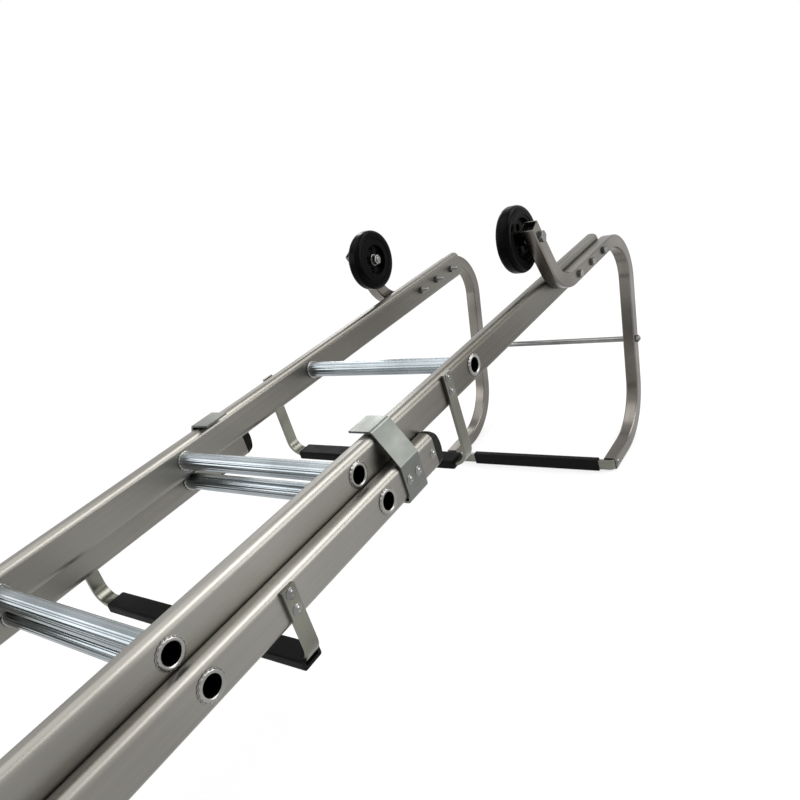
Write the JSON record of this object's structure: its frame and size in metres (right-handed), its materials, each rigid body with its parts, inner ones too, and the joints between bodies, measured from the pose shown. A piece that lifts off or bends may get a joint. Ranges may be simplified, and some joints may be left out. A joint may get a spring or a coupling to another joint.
{
  "type": "roof ladder",
  "caption": "Extending roof ladder: a hooked and wheeled upper section slides on a wider lower section, and padded bearers hold it off the roof.",
  "frame": {"origin": "centre of the top rung of the upper section, midway up its rails", "axes": "+X across the ladder to the right of someone climbing it, along the top rung; +Y up the slope along the rails towards the ridge hook; +Z away from the roof, on the climbing side"},
  "size_m": [0.417, 3.1715, 0.5777],
  "materials": {
    "rail_aluminium": "satin extruded, fine lines along the length",
    "rung_aluminium": "bright fluted extrusion",
    "hook_aluminium": "satin tube, slightly darker at the bends",
    "zinc_plate": "zinc plated, faint mottle",
    "strap_aluminium": "dull mill-finish flat bar",
    "sleeve_rubber": "matte black moulded sleeve",
    "tyre_rubber": "matte black solid tyre",
    "black_plastic": "black moulded plastic",
    "bright_steel": "bright zinc-plated steel"
  },
  "bodies": {
    "lower_section": {"lower_rail_left": "rail_aluminium", "lower_rail_right": "rail_aluminium", "lower_rung_1": "rung_aluminium", "lower_rung_2": "rung_aluminium", "lower_rung_3": "rung_aluminium", "lower_rung_4": "rung_aluminium", "lower_rung_5": "rung_aluminium", "lower_rung_6": "rung_aluminium", "lower_rung_7": "rung_aluminium", "lower_rung_8": "rung_aluminium", "guide_bracket_left": "zinc_plate", "guide_bracket_right": "zinc_plate", "lower_top_cap_left": "black_plastic", "lower_top_cap_right": "black_plastic", "lower_foot_cap_left": "black_plastic", "lower_foot_cap_right": "black_plastic", "lower_bearer_strap": "strap_aluminium", "lower_bearer_sleeve": "sleeve_rubber", "foot_bearer_strap": "strap_aluminium", "foot_bearer_sleeve": "sleeve_rubber", "lower_section_rivets": "bright_steel"},
    "upper_section": {"upper_rail_left": "rail_aluminium", "upper_rail_right": "rail_aluminium", "upper_rung_1": "rung_aluminium", "upper_rung_2": "rung_aluminium", "upper_rung_3": "rung_aluminium", "upper_rung_4": "rung_aluminium", "upper_rung_5": "rung_aluminium", "upper_rung_6": "rung_aluminium", "upper_rung_7": "rung_aluminium", "upper_rung_8": "rung_aluminium", "ridge_hook_left": "hook_aluminium", "ridge_hook_right": "hook_aluminium", "foot_guide_left": "zinc_plate", "foot_guide_right": "zinc_plate", "upper_bearer_strap": "strap_aluminium", "ridge_bar": "strap_aluminium", "upper_bearer_sleeve": "sleeve_rubber", "ridge_sleeve": "sleeve_rubber", "upper_foot_cap_left": "black_plastic", "upper_foot_cap_right": "black_plastic", "hook_bolts": "bright_steel", "hook_nuts": "bright_steel", "hook_tie_rod": "bright_steel", "tie_rod_nuts": "bright_steel", "ridge_bar_rivets": "bright_steel", "wheel_axle_bolts": "bright_steel", "wheel_axle_nuts": "bright_steel", "wheel_washers": "bright_steel", "upper_section_rivets": "bright_steel", "catch_pivots": "bright_steel"},
    "wheel_left": {"tyre_left": "tyre_rubber", "wheel_hub_left": "black_plastic"},
    "wheel_right": {"tyre_right": "tyre_rubber", "wheel_hub_right": "black_plastic"},
    "catch_left": {"rung_catch_left": "zinc_plate"},
    "catch_right": {"rung_catch_right": "zinc_plate"}
  },
  "joints": [
    {"name": "section_slide", "type": "slide", "parent": "lower_section", "child": "upper_section", "axis": [0, 1, 0], "range_m": [0, 1.2]},
    {"name": "wheel_left_spin", "type": "hinge", "parent": "upper_section", "child": "wheel_left", "pos_m": [-0.157, 0.2496, 0.11071], "axis": [1, 0, 0], "continuous": true},
    {"name": "wheel_right_spin", "type": "hinge", "parent": "upper_section", "child": "wheel_right", "pos_m": [0.157, 0.2496, 0.11071], "axis": [1, 0, 0], "continuous": true},
    {"name": "catch_left_turn", "type": "hinge", "parent": "upper_section", "child": "catch_left", "pos_m": [-0.1476, -2.065, 0.004], "axis": [-1, 0, 0], "range_deg": [0, 90]},
    {"name": "catch_right_turn", "type": "hinge", "parent": "upper_section", "child": "catch_right", "pos_m": [0.1476, -2.065, 0.004], "axis": [-1, 0, 0], "range_deg": [0, 90]}
  ]
}
